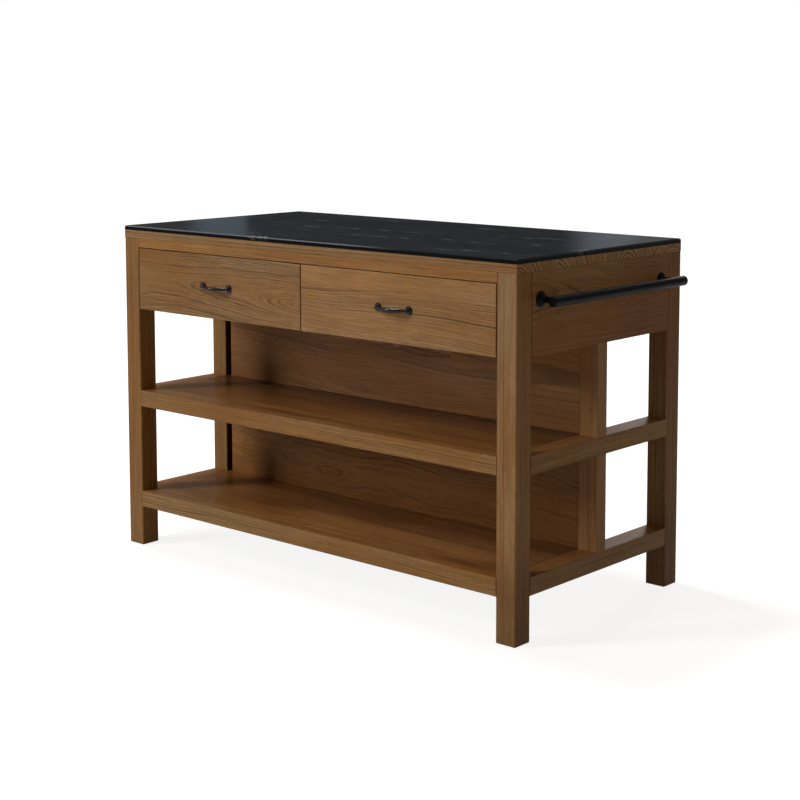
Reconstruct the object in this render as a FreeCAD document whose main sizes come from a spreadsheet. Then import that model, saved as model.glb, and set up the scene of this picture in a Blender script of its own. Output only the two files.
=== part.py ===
import FreeCAD
import Part
import os
import re
import Sketcher

# Kitchen table: wood frame with two drawers, two half-depth shelves, a stone slab
# on top and a towel rail at the right end.
# The front faces -Y, the towel rail +X. The origin is on the floor, under the middle
# of the box that holds the whole table with its rail and pulls.

os.makedirs("parts", exist_ok=True)
doc = FreeCAD.newDocument("KitchenTable")
sheet = doc.addObject("Spreadsheet::Sheet", "Sizes")

SIZES = {
    # Whole table and its top
    "table_width": 1404,
    "table_depth": 691,
    "table_height": 914,
    "stone_thickness": 12,
    "stone_bevel": 3,
    "board_thickness": 22,
    # Wood edges are eased by a small bevel
    "wood_ease": 1.2,
    # Legs
    "leg_width": 58,
    "leg_depth": 57,
    "leg_ease": 2,
    # Upper frame
    "top_rail_height": 25,
    "top_rail_depth": 45,
    "apron_height": 199.5,
    "apron_thickness": 22,
    "partition_thickness": 20,
    "batten_height": 70,
    # Tenons and what is left free around them
    "apron_tenon_thickness": 10,
    "apron_tenon_length": 24,
    "apron_shoulder": 20,
    "rail_tenon_width": 20,
    "rail_tenon_length": 20,
    "shelf_tenon_height": 26,
    "top_tenon_height": 13,
    "stub_width": 20,
    "stub_length": 12,
    "stub_inset": 12,
    "joint_gap": 0.2,
    "joint_end_gap": 1,
    "cut_overrun": 1,
    # Shelves
    "middle_shelf_top": 447.5,
    "bottom_shelf_top": 157.5,
    "shelf_thickness": 46,
    "shelf_rail_depth": 46,
    "shelf_board_thickness": 22,
    "shelf_rabbet": 14,
    "shelf_board_gap": 0.4,
    # Divider at mid depth
    "post_width": 56,
    "divider_thickness": 38,
    "panel_recess": 3,
    "panel_thickness": 32,
    "panel_tongue": 6,
    "panel_slot_left": 19,
    "panel_slot_right": 0.6,
    "panel_groove": 10,
    # Drawers
    "front_thickness": 22,
    "front_gap": 2.6,
    "box_wall": 13,
    "box_height": 120,
    "box_run_on": 2,
    "box_raise": 14.5,
    "bottom_thickness": 6,
    "bottom_groove": 6,
    "bottom_raise": 10,
    # Telescopic slides, three nested channels each
    "slide_thickness": 12.7,
    "slide_height": 45,
    "slide_sheet": 1.2,
    "slide_gap": 0.25,
    "slide_web_gap": 1,
    "slide_length": 450,
    "slide_setback": 3,
    # Bow pulls and their screws
    "pull_span": 101.6,
    "pull_rise": 27,
    "grip_middle_diameter": 11,
    "grip_end_diameter": 6.5,
    "foot_diameter": 22,
    "foot_rim": 2.5,
    "foot_neck_diameter": 9,
    "foot_height": 12.5,
    "pull_screw_diameter": 4,
    "pull_screw_depth": 6,
    "pull_head_diameter": 8,
    "pull_head_height": 2.5,
    # Towel rail and its screws
    "rail_diameter": 25.4,
    "rail_standoff": 52,
    "rail_overhang": 26,
    "rail_inset": 34.5,
    "rail_axis_drop": 100,
    "rail_ease": 1.5,
    "plate_diameter": 38,
    "plate_rim": 3,
    "plate_rise": 8,
    "post_neck_diameter": 15,
    "rail_fit": 0.1,
    "rail_screw_diameter": 5,
    "rail_screw_depth": 18,
    "rail_head_diameter": 10,
    "rail_head_height": 3,
    "screw_fit": 0.05,
    "screw_hole_gap": 0.25,
    # Steel angles that hold the top board to the frame
    "angle_leg": 18,
    "angle_sheet": 2,
    "angle_length": 30,
}

for row, (word, value) in enumerate(SIZES.items(), start=1):
    sheet.set(f"A{row}", word)
    sheet.set(f"B{row}", str(value))
    sheet.setAlias(f"B{row}", word)
doc.recompute()

# Places that several pieces share, worked out from the sizes
RAIL_REACH = "(rail_standoff + rail_diameter / 2)"
PULL_REACH = "(pull_rise + grip_middle_diameter / 2)"
LEFT = f"(0 - (table_width + {RAIL_REACH}) / 2)"
RIGHT = f"({LEFT} + table_width)"
CENTRE = f"({LEFT} + table_width / 2)"
FRONT = f"(({PULL_REACH} - table_depth) / 2)"
BACK = f"({FRONT} + table_depth)"
MIDDLE = f"({FRONT} + table_depth / 2)"
SPAN_X = "(table_width - 2 * leg_width)"
SPAN_Y = "(table_depth - 2 * leg_depth)"
BOARD_BOTTOM = "(table_height - stone_thickness - board_thickness)"
APRON_BOTTOM = f"({BOARD_BOTTOM} - apron_height)"
BOX_BOTTOM = f"({APRON_BOTTOM} + box_raise)"
SLIDE_AXIS = f"({BOX_BOTTOM} + box_height / 2)"
RAIL_AXIS = "(table_height - rail_axis_drop)"
RAIL_SPACING = f"({SPAN_Y} - 2 * rail_inset)"
SHELVES = {"middle": "middle_shelf_top", "bottom": "bottom_shelf_top"}

pieces = []


# Helpers

def formula(text):
    """Turns plain words for sizes into references to the sheet."""
    def refer(found):
        word = found.group()
        return f"Sizes.{word}" if word in SIZES else word
    return re.sub(r"[a-z_]+", refer, text)


def bind(item, prop, text):
    item.setExpression(prop, formula(text))


def new_body(name, low):
    """A body whose local origin is placed at three formulas."""
    body = doc.addObject("PartDesign::Body", name)
    body.Label = name
    for axis, text in zip("xyz", low):
        bind(body, f"Placement.Base.{axis}", text)
    pieces.append(body)
    return body


def origin_plane(body, role):
    return next(item for item in body.Origin.OriginFeatures if item.Role == role)


def attach(item, body, role, offset=("0", "0", "0"), turn=None):
    """Fixes a sketch or a primitive to an origin plane, shifted in the plane's own axes."""
    item.AttachmentSupport = (origin_plane(body, role), "")
    item.MapMode = "FlatFace"
    if turn is not None:
        item.AttachmentOffset = FreeCAD.Placement(FreeCAD.Vector(0, 0, 0), turn)
    for axis, text in zip("xyz", offset):
        if text != "0":
            bind(item, f"AttachmentOffset.Base.{axis}", text)


def new_sketch(body, role, name, offset=("0", "0", "0"), turn=None):
    sketch = body.newObject("Sketcher::SketchObject", f"{body.Name}_{name}")
    attach(sketch, body, role, offset, turn)
    return sketch


def draw_outline(sketch, corners):
    """Closed outline whose corners are pairs of formulas, none of them negative."""
    count = len(corners)
    start = FreeCAD.Vector(1, 0, 0)
    turn = FreeCAD.Rotation(FreeCAD.Vector(0, 0, 1), 360 / count)
    spots = [start]
    for _ in range(count - 1):
        spots.append(turn.multVec(spots[-1]))
    for index in range(count):
        sketch.addGeometry(Part.LineSegment(spots[index], spots[(index + 1) % count]), False)
    for index in range(count):
        sketch.addConstraint(Sketcher.Constraint("Coincident", index, 2, (index + 1) % count, 1))
    for index, (across, up) in enumerate(corners):
        for text, kind, axis in ((across, "DistanceX", -2), (up, "DistanceY", -1)):
            if text == "0":
                sketch.addConstraint(Sketcher.Constraint("PointOnObject", index, 1, axis))
                continue
            number = sketch.addConstraint(Sketcher.Constraint(kind, -1, 1, index, 1, 1.0))
            sketch.renameConstraint(number, f"{kind}_{index}")
            bind(sketch, f"Constraints.{kind}_{index}", text)


def draw_circle(sketch, diameter):
    circle = Part.Circle(FreeCAD.Vector(0, 0, 0), FreeCAD.Vector(0, 0, 1), 1)
    sketch.addGeometry(circle, False)
    sketch.addConstraint(Sketcher.Constraint("Coincident", 0, 3, -1, 1))
    number = sketch.addConstraint(Sketcher.Constraint("Diameter", 0, 1.0))
    sketch.renameConstraint(number, "across")
    bind(sketch, "Constraints.across", diameter)


def pad_outline(body, role, corners, length, name="outline", backwards=False):
    sketch = new_sketch(body, role, name)
    draw_outline(sketch, corners)
    pad = body.newObject("PartDesign::Pad", f"{body.Name}_pad")
    pad.Profile = sketch
    pad.Reversed = backwards
    bind(pad, "Length", length)
    return pad


def block(name, low, size):
    """Plain board or bar, its low corner at the body's local origin."""
    body = new_body(name, low)
    wide, deep, high = size
    pad_outline(body, "XY_Plane", [("0", "0"), (wide, "0"), (wide, deep), ("0", deep)], high)
    return body


def straight_edges(shape, axis):
    """Names of the straight edges that run along one axis."""
    names = []
    for number, edge in enumerate(shape.Edges, start=1):
        run = edge.Vertexes[-1].Point - edge.Vertexes[0].Point
        across = [abs(run[other]) for other in range(3) if other != axis]
        if max(across) < abs(run[axis]) * 1e-6:
            names.append(f"Edge{number}")
    return names


def edges_in_face(shape, axis, high):
    """Names of the edges that lie wholly in the lowest or highest face across one axis."""
    box = shape.BoundBox
    lows = (box.XMin, box.YMin, box.ZMin)
    highs = (box.XMax, box.YMax, box.ZMax)
    level = highs[axis] if high else lows[axis]
    near = (highs[axis] - lows[axis]) * 1e-5
    names = []
    for number, edge in enumerate(shape.Edges, start=1):
        if all(abs(vertex.Point[axis] - level) < near for vertex in edge.Vertexes):
            names.append(f"Edge{number}")
    return names


def bevel(body, amount, choose):
    """Bevels the edges of the body's last feature that the chooser names."""
    doc.recompute()
    base = body.Tip
    edge_names = choose(base.Shape)
    chamfer = body.newObject("PartDesign::Chamfer", f"{body.Name}_bevel")
    chamfer.Base = (base, edge_names)
    bind(chamfer, "Size", amount)
    return chamfer


def ease_along(body, axis, amount="wood_ease"):
    return bevel(body, amount, lambda shape: straight_edges(shape, axis))


def ease_face(body, axis, high, amount="wood_ease"):
    return bevel(body, amount, lambda shape: edges_in_face(shape, axis, high))


def box_feature(body, kind, name, low, size):
    feature = body.newObject(f"PartDesign::{kind}", f"{body.Name}_{name}")
    attach(feature, body, "XY_Plane", low)
    for prop, text in zip(("Length", "Width", "Height"), size):
        bind(feature, prop, text)
    return feature


def tenon(body, name, low, size):
    return box_feature(body, "AdditiveBox", name, low, size)


def cut_box(body, name, low, size):
    return box_feature(body, "SubtractiveBox", name, low, size)


def round_hole(body, name, role, centre, diameter, length):
    """Round cut that runs from the given centre along the plane's normal."""
    feature = body.newObject("PartDesign::SubtractiveCylinder", f"{body.Name}_{name}")
    attach(feature, body, role, centre)
    bind(feature, "Radius", f"({diameter}) / 2")
    bind(feature, "Height", length)
    return feature


def from_side(is_low, whole, start, length):
    """Local start of a stretch that is given from the outer face, on either side."""
    if is_low:
        return start
    return f"{whole} - ({start}) - ({length})"


def rod(name, start, turn, diameter, length):
    """Round rod from a start point along the axis that the turn gives it."""
    item = doc.addObject("Part::Cylinder", name)
    item.Placement = FreeCAD.Placement(FreeCAD.Vector(0, 0, 0), turn)
    for axis, text in zip("xyz", start):
        bind(item, f"Placement.Base.{axis}", text)
    bind(item, "Radius", f"({diameter}) / 2")
    bind(item, "Height", length)
    return item


def plate(name, low, size):
    item = doc.addObject("Part::Box", name)
    for axis, text in zip("xyz", low):
        bind(item, f"Placement.Base.{axis}", text)
    for prop, text in zip(("Length", "Width", "Height"), size):
        bind(item, prop, text)
    return item


def joined(name, items):
    whole = doc.addObject("Part::MultiFuse", name)
    whole.Shapes = items
    return whole


def group(name, items):
    """Equal fasteners that share one node, each a solid of its own."""
    whole = doc.addObject("Part::Compound", name)
    whole.Label = name
    whole.Links = items
    pieces.append(whole)
    return whole


ALONG_X = FreeCAD.Rotation(FreeCAD.Vector(0, 1, 0), 90)
AGAINST_Y = FreeCAD.Rotation(FreeCAD.Vector(1, 0, 0), 90)


# Top: the stone slab lies on a wood board of the same size

def make_top():
    size = ("table_width", "table_depth")
    stone = block("stone_top", (LEFT, FRONT, "table_height - stone_thickness"),
                  (*size, "stone_thickness"))
    ease_face(stone, 2, True, "stone_bevel")
    board = block("top_board", (LEFT, FRONT, BOARD_BOTTOM), (*size, "board_thickness"))
    ease_face(board, 2, False)


# Legs, with a mortise for each rail and apron that ends in them

def leg_mortise(leg, name, is_left, is_front, start, size):
    """Mortise given from the table's outer faces, widened by the joint's gaps."""
    start_x, start_y, start_z = start
    size_x, size_y, size_z = size
    low_x = from_side(is_left, "leg_width", start_x, size_x)
    low_y = from_side(is_front, "leg_depth", start_y, size_y)
    cut_box(leg, name, (low_x, low_y, start_z), (size_x, size_y, size_z))


def mortise_deep_x(leg, name, is_left, is_front, start_y, width, start_z, height, length):
    """Mortise that opens in the leg's inner side face."""
    start = (f"leg_width - {length} - joint_end_gap", f"{start_y} - joint_gap",
             f"{start_z} - joint_gap")
    size = (f"{length} + joint_end_gap + cut_overrun", f"{width} + 2 * joint_gap",
            f"{height} + 2 * joint_gap")
    leg_mortise(leg, name, is_left, is_front, start, size)


def mortise_deep_y(leg, name, is_left, is_front, start_x, width, start_z, height, length):
    """Mortise that opens in the face towards the other leg of the same end."""
    start = (f"{start_x} - joint_gap", f"leg_depth - {length} - joint_end_gap",
             f"{start_z} - joint_gap")
    size = (f"{width} + 2 * joint_gap", f"{length} + joint_end_gap + cut_overrun",
            f"{height} + 2 * joint_gap")
    leg_mortise(leg, name, is_left, is_front, start, size)


APRON_TENON_SIDE = "(apron_thickness - apron_tenon_thickness) / 2"
APRON_TENON_LOW = f"({APRON_BOTTOM} + apron_shoulder)"
APRON_TENON_HEIGHT = "(apron_height - 2 * apron_shoulder)"


def make_leg(name, is_left, is_front):
    low_x = LEFT if is_left else f"{RIGHT} - leg_width"
    low_y = FRONT if is_front else f"{BACK} - leg_depth"
    leg = block(name, (low_x, low_y, "0"), ("leg_width", "leg_depth", BOARD_BOTTOM))
    ease_along(leg, 2, "leg_ease")
    ease_face(leg, 2, False)
    side = (is_left, is_front)
    mortise_deep_y(leg, "end_apron_mortise", *side, APRON_TENON_SIDE, "apron_tenon_thickness",
                   APRON_TENON_LOW, APRON_TENON_HEIGHT, "apron_tenon_length")
    for level, top in SHELVES.items():
        low_z = f"{top} - (shelf_thickness + shelf_tenon_height) / 2"
        mortise_deep_y(leg, f"{level}_side_mortise", *side, "(leg_width - rail_tenon_width) / 2",
                       "rail_tenon_width", low_z, "shelf_tenon_height", "rail_tenon_length")
        if is_front:
            mortise_deep_x(leg, f"{level}_front_mortise", *side,
                           "(shelf_rail_depth - rail_tenon_width) / 2", "rail_tenon_width",
                           low_z, "shelf_tenon_height", "rail_tenon_length")
    if is_front:
        low_z = f"{BOARD_BOTTOM} - (top_rail_height + top_tenon_height) / 2"
        mortise_deep_x(leg, "top_rail_mortise", *side, "(top_rail_depth - rail_tenon_width) / 2",
                       "rail_tenon_width", low_z, "top_tenon_height", "rail_tenon_length")
    else:
        mortise_deep_x(leg, "back_apron_mortise", *side, APRON_TENON_SIDE,
                       "apron_tenon_thickness", APRON_TENON_LOW, APRON_TENON_HEIGHT,
                       "apron_tenon_length")


def make_legs():
    for is_front in (True, False):
        for is_left in (True, False):
            depth_word = "front" if is_front else "back"
            side_word = "left" if is_left else "right"
            make_leg(f"leg_{depth_word}_{side_word}", is_left, is_front)


# Upper frame: narrow rail over the drawers, aprons at the ends and the back

def tenons_x(body, span, low_y, width, low_z, height, length):
    """Tenons at both ends of a piece that runs along X."""
    for name, low_x in (("left_tenon", f"0 - {length}"), ("right_tenon", span)):
        tenon(body, name, (low_x, low_y, low_z), (length, width, height))


def tenons_y(body, span, low_x, width, low_z, height, length):
    """Tenons at both ends of a piece that runs along Y."""
    for name, low_y in (("front_tenon", f"0 - {length}"), ("back_tenon", span)):
        tenon(body, name, (low_x, low_y, low_z), (width, length, height))


def make_upper_frame():
    rail = block("front_top_rail", (f"{LEFT} + leg_width", FRONT, f"{BOARD_BOTTOM} - top_rail_height"),
                 (SPAN_X, "top_rail_depth", "top_rail_height"))
    tenons_x(rail, SPAN_X, "(top_rail_depth - rail_tenon_width) / 2", "rail_tenon_width",
             "(top_rail_height - top_tenon_height) / 2", "top_tenon_height", "rail_tenon_length")
    for word, low_x in (("left", LEFT), ("right", f"{RIGHT} - apron_thickness")):
        apron = block(f"end_apron_{word}", (low_x, f"{FRONT} + leg_depth", APRON_BOTTOM),
                      ("apron_thickness", SPAN_Y, "apron_height"))
        ease_along(apron, 1)
        tenons_y(apron, SPAN_Y, APRON_TENON_SIDE, "apron_tenon_thickness", "apron_shoulder",
                 APRON_TENON_HEIGHT, "apron_tenon_length")
        if word == "right":
            drill_rail_holes(apron)
    back = block("back_apron", (f"{LEFT} + leg_width", f"{BACK} - apron_thickness", APRON_BOTTOM),
                 (SPAN_X, "apron_thickness", "apron_height"))
    ease_along(back, 0)
    tenons_x(back, SPAN_X, APRON_TENON_SIDE, "apron_tenon_thickness", "apron_shoulder",
             APRON_TENON_HEIGHT, "apron_tenon_length")


def drill_rail_holes(apron):
    """Holes for the screws that hold the towel rail's posts."""
    for word, way in (("front", "-"), ("back", "+")):
        centre = (f"{SPAN_Y} / 2 {way} {RAIL_SPACING} / 2", f"{RAIL_AXIS} - {APRON_BOTTOM}",
                  "0 - cut_overrun")
        round_hole(apron, f"{word}_screw_hole", "YZ_Plane", centre,
                   "rail_screw_diameter + 2 * screw_hole_gap", "apron_thickness + 2 * cut_overrun")


def make_drawer_supports():
    """Partition between the drawers and the battens that fill out the end aprons."""
    gap = "(front_thickness + front_gap)"
    block("centre_partition",
          (f"{CENTRE} - partition_thickness / 2", f"{FRONT} + {gap}", APRON_BOTTOM),
          ("partition_thickness", f"table_depth - {gap} - apron_thickness",
           "apron_height - top_rail_height"))
    low_xs = {"left": f"{LEFT} + apron_thickness", "right": f"{RIGHT} - leg_width"}
    for word, low_x in low_xs.items():
        block(f"slide_batten_{word}",
              (low_x, f"{FRONT} + leg_depth", f"{SLIDE_AXIS} - batten_height / 2"),
              ("leg_width - apron_thickness", SPAN_Y, "batten_height"))


# Shelves: rails between the legs, a cross rail at mid depth and a board let in flush

SHELF_TENON_LOW = "(shelf_thickness - shelf_tenon_height) / 2"
STUB_LOW = "(divider_thickness - stub_width) / 2"


def make_side_rail(level, top, word):
    is_left = word == "left"
    low_x = LEFT if is_left else f"{RIGHT} - leg_width"
    rail = block(f"{level}_shelf_side_rail_{word}",
                 (low_x, f"{FRONT} + leg_depth", f"{top} - shelf_thickness"),
                 ("leg_width", SPAN_Y, "shelf_thickness"))
    ease_along(rail, 1)
    tenons_y(rail, SPAN_Y, "(leg_width - rail_tenon_width) / 2", "rail_tenon_width",
             SHELF_TENON_LOW, "shelf_tenon_height", "rail_tenon_length")
    # Mortise for the cross rail, in the inner face
    length = "rail_tenon_length + joint_end_gap + cut_overrun"
    low = from_side(is_left, "leg_width", "leg_width - rail_tenon_length - joint_end_gap", length)
    cut_box(rail, "cross_mortise",
            (low, f"({SPAN_Y} - rail_tenon_width) / 2 - joint_gap", f"{SHELF_TENON_LOW} - joint_gap"),
            (length, "rail_tenon_width + 2 * joint_gap", "shelf_tenon_height + 2 * joint_gap"))
    # Mortises for the divider posts that stand on the rail or end under it
    deep = "(stub_length + joint_end_gap)"
    width = "stub_width + 2 * joint_gap"
    low = from_side(is_left, "leg_width", "stub_inset - joint_gap", width)
    low_y = f"({SPAN_Y} - stub_width) / 2 - joint_gap"
    cut_box(rail, "upper_stub_mortise", (low, low_y, f"shelf_thickness - {deep}"),
            (width, width, f"{deep} + cut_overrun"))
    if level == "middle":
        cut_box(rail, "lower_stub_mortise", (low, low_y, "0 - cut_overrun"),
                (width, width, f"{deep} + cut_overrun"))


def make_shelf(level, top):
    low_z = f"{top} - shelf_thickness"
    inner_left = f"{LEFT} + leg_width"
    rabbet_size = (f"{SPAN_X} + 2 * cut_overrun", "shelf_rabbet + cut_overrun",
                   "shelf_board_thickness + cut_overrun")
    rabbet_z = "shelf_thickness - shelf_board_thickness"
    front = block(f"{level}_shelf_front_rail", (inner_left, FRONT, low_z),
                  (SPAN_X, "shelf_rail_depth", "shelf_thickness"))
    ease_along(front, 0)
    cut_box(front, "rabbet", ("0 - cut_overrun", "shelf_rail_depth - shelf_rabbet", rabbet_z),
            rabbet_size)
    tenons_x(front, SPAN_X, "(shelf_rail_depth - rail_tenon_width) / 2", "rail_tenon_width",
             SHELF_TENON_LOW, "shelf_tenon_height", "rail_tenon_length")
    cross = block(f"{level}_shelf_cross_rail",
                  (inner_left, f"{MIDDLE} - divider_thickness / 2", low_z),
                  (SPAN_X, "divider_thickness", "shelf_thickness"))
    ease_along(cross, 0)
    cut_box(cross, "rabbet", ("0 - cut_overrun", "0 - cut_overrun", rabbet_z), rabbet_size)
    tenons_x(cross, SPAN_X, "(divider_thickness - rail_tenon_width) / 2", "rail_tenon_width",
             SHELF_TENON_LOW, "shelf_tenon_height", "rail_tenon_length")
    for word in ("left", "right"):
        make_side_rail(level, top, word)
    board_start = "(shelf_rail_depth - shelf_rabbet + shelf_board_gap)"
    board_end = "(table_depth / 2 - divider_thickness / 2 + shelf_rabbet - shelf_board_gap)"
    block(f"{level}_shelf_board",
          (f"{inner_left} + shelf_board_gap", f"{FRONT} + {board_start}",
           f"{top} - shelf_board_thickness"),
          (f"{SPAN_X} - 2 * shelf_board_gap", f"{board_end} - {board_start}",
           "shelf_board_thickness"))


# Divider: over each shelf a post at each end and a floating panel between them

def make_post(level, word, low_z, high_z, has_upper_stub):
    low_x = LEFT if word == "left" else f"{RIGHT} - post_width"
    height = f"({high_z} - {low_z})"
    post = block(f"{level}_divider_post_{word}",
                 (low_x, f"{MIDDLE} - divider_thickness / 2", low_z),
                 ("post_width", "divider_thickness", height))
    ease_along(post, 2)
    inset = from_side(word == "left", "post_width", "stub_inset", "stub_width")
    stub = ("stub_width", "stub_width", "stub_length")
    tenon(post, "lower_stub", (inset, STUB_LOW, "0 - stub_length"), stub)
    if has_upper_stub:
        tenon(post, "upper_stub", (inset, STUB_LOW, height), stub)
    groove = from_side(word == "left", "post_width", "post_width - panel_groove",
                       "panel_groove + cut_overrun")
    cut_box(post, "groove",
            (groove, "panel_recess + panel_thickness - panel_tongue - joint_gap", "0 - cut_overrun"),
            ("panel_groove + cut_overrun", "panel_tongue + 2 * joint_gap",
             f"{height} + 2 * cut_overrun"))


def make_panel(level, low_z, high_z):
    """Panel set a little behind the posts, with tongues that leave a dark slot at each end."""
    height = f"({high_z} - {low_z} - joint_gap)"
    width = "(table_width - 2 * post_width - panel_slot_left - panel_slot_right)"
    panel = block(f"{level}_divider_panel",
                  (f"{LEFT} + post_width + panel_slot_left",
                   f"{MIDDLE} - divider_thickness / 2 + panel_recess", low_z),
                  (width, "panel_thickness", height))
    ease_face(panel, 1, False)
    reach_left = "(panel_slot_left + panel_groove - joint_end_gap)"
    reach_right = "(panel_slot_right + panel_groove - joint_end_gap)"
    tongue_y = "panel_thickness - panel_tongue"
    tenon(panel, "left_tongue", (f"0 - {reach_left}", tongue_y, "0"),
          (reach_left, "panel_tongue", height))
    tenon(panel, "right_tongue", (width, tongue_y, "0"), (reach_right, "panel_tongue", height))


def make_divider():
    levels = (
        ("lower", "bottom_shelf_top", "(middle_shelf_top - shelf_thickness)", True),
        ("upper", "middle_shelf_top", APRON_BOTTOM, False),
    )
    for level, low_z, high_z, has_upper_stub in levels:
        for word in ("left", "right"):
            make_post(level, word, low_z, high_z, has_upper_stub)
        make_panel(level, low_z, high_z)


# Drawers

CAVITY = "(table_width / 2 - leg_width - partition_thickness / 2)"
BOX_WIDTH = f"({CAVITY} - 2 * slide_thickness)"
FRONT_WIDTH = "(table_width / 2 - leg_width - 1.5 * front_gap)"
FRONT_HEIGHT = "(apron_height - top_rail_height - front_gap)"
BOX_Y = f"({FRONT} + front_thickness)"
BOX_LENGTH = "(slide_setback + slide_length + box_run_on)"


def cavity_low(word):
    if word == "left":
        return f"({LEFT} + leg_width)"
    return f"({CENTRE} + partition_thickness / 2)"


def front_low(word):
    if word == "left":
        return f"({LEFT} + leg_width + front_gap)"
    return f"({CENTRE} + front_gap / 2)"


def make_drawer_front(word):
    front = block(f"{word}_drawer_front", (front_low(word), FRONT, APRON_BOTTOM),
                  (FRONT_WIDTH, "front_thickness", FRONT_HEIGHT))
    ease_face(front, 1, False)
    # Groove for the drawer's bottom, between the two sides
    low_x = f"{cavity_low(word)} + slide_thickness + box_wall - bottom_groove - {front_low(word)}"
    cut_box(front, "bottom_groove",
            (low_x, "front_thickness - bottom_groove", "box_raise + bottom_raise - joint_gap"),
            (f"{BOX_WIDTH} - 2 * box_wall + 2 * bottom_groove", "bottom_groove + cut_overrun",
             "bottom_thickness + 2 * joint_gap"))
    for name, way in (("left_screw_hole", "-"), ("right_screw_hole", "+")):
        centre = (f"{FRONT_WIDTH} / 2 {way} pull_span / 2", f"{FRONT_HEIGHT} / 2",
                  "0 - front_thickness - cut_overrun")
        round_hole(front, name, "XZ_Plane", centre, "pull_screw_diameter + 2 * screw_hole_gap",
                   "front_thickness + 2 * cut_overrun")


def make_drawer_box(word):
    low_x = f"({cavity_low(word)} + slide_thickness)"
    side_places = {"left": low_x, "right": f"({low_x} + {BOX_WIDTH} - box_wall)"}
    for hand, place in side_places.items():
        side = block(f"{word}_drawer_side_{hand}", (place, BOX_Y, BOX_BOTTOM),
                     ("box_wall", BOX_LENGTH, "box_height"))
        ease_face(side, 2, True)
        depth = "bottom_groove + cut_overrun"
        groove_x = from_side(hand == "left", "box_wall", "box_wall - bottom_groove", depth)
        cut_box(side, "bottom_groove",
                (groove_x, "0 - cut_overrun", "bottom_raise - joint_gap"),
                (depth, f"{BOX_LENGTH} + 2 * cut_overrun", "bottom_thickness + 2 * joint_gap"))
    block(f"{word}_drawer_back",
          (f"{low_x} + box_wall", f"{BOX_Y} + {BOX_LENGTH} - box_wall",
           f"{BOX_BOTTOM} + bottom_raise + bottom_thickness"),
          (f"{BOX_WIDTH} - 2 * box_wall", "box_wall",
           "box_height - bottom_raise - bottom_thickness"))
    block(f"{word}_drawer_bottom",
          (f"{low_x} + box_wall - bottom_groove + joint_gap",
           f"{BOX_Y} - bottom_groove + joint_gap", f"{BOX_BOTTOM} + bottom_raise"),
          (f"{BOX_WIDTH} - 2 * box_wall + 2 * bottom_groove - 2 * joint_gap",
           f"{BOX_LENGTH} + bottom_groove - joint_gap", "bottom_thickness"))


def channel(name, wall, faces_right, start, reach, web_at_wall, height):
    """One channel of a slide, measured from the wall that carries the slide."""
    low_x = f"{wall} + {start}" if faces_right else f"{wall} - {start} - {reach}"
    body = new_body(name, (low_x, f"{BOX_Y} + slide_setback", f"{SLIDE_AXIS} - {height} / 2"))
    web_low = web_at_wall == faces_right
    sheet_word = "slide_sheet"
    if web_low:
        corners = [("0", "0"), (reach, "0"), (reach, sheet_word), (sheet_word, sheet_word),
                   (sheet_word, f"{height} - {sheet_word}"), (reach, f"{height} - {sheet_word}"),
                   (reach, height), ("0", height)]
    else:
        inner = f"{reach} - {sheet_word}"
        corners = [("0", "0"), (reach, "0"), (reach, height), ("0", height),
                   ("0", f"{height} - {sheet_word}"), (inner, f"{height} - {sheet_word}"),
                   (inner, sheet_word), ("0", sheet_word)]
    pad_outline(body, "XZ_Plane", corners, "slide_length", backwards=True)


def make_slide(word, hand):
    """Fixed, middle and moving channel, nested with a running gap."""
    faces_right = hand == "left"
    wall = cavity_low(word) if faces_right else f"({cavity_low(word)} + {CAVITY})"
    step = "(slide_sheet + slide_web_gap)"
    channel(f"{word}_drawer_slide_{hand}_fixed", wall, faces_right, "0",
            "(slide_thickness - slide_sheet - 2 * slide_web_gap)", True, "slide_height")
    channel(f"{word}_drawer_slide_{hand}_middle", wall, faces_right, step,
            f"(slide_thickness - slide_sheet - 2 * slide_gap - {step})", True,
            "(slide_height - 2 * slide_sheet - 2 * slide_gap)")
    channel(f"{word}_drawer_slide_{hand}_moving", wall, faces_right, f"(2 * {step})",
            f"(slide_thickness - 2 * {step})", False,
            "(slide_height - 4 * slide_sheet - 4 * slide_gap)")


# Bow pull: two round feet and a grip that swells towards its middle

GRIP_SHARES = (-1, -0.7, -0.35, 0, 0.35, 0.7, 1)


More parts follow.
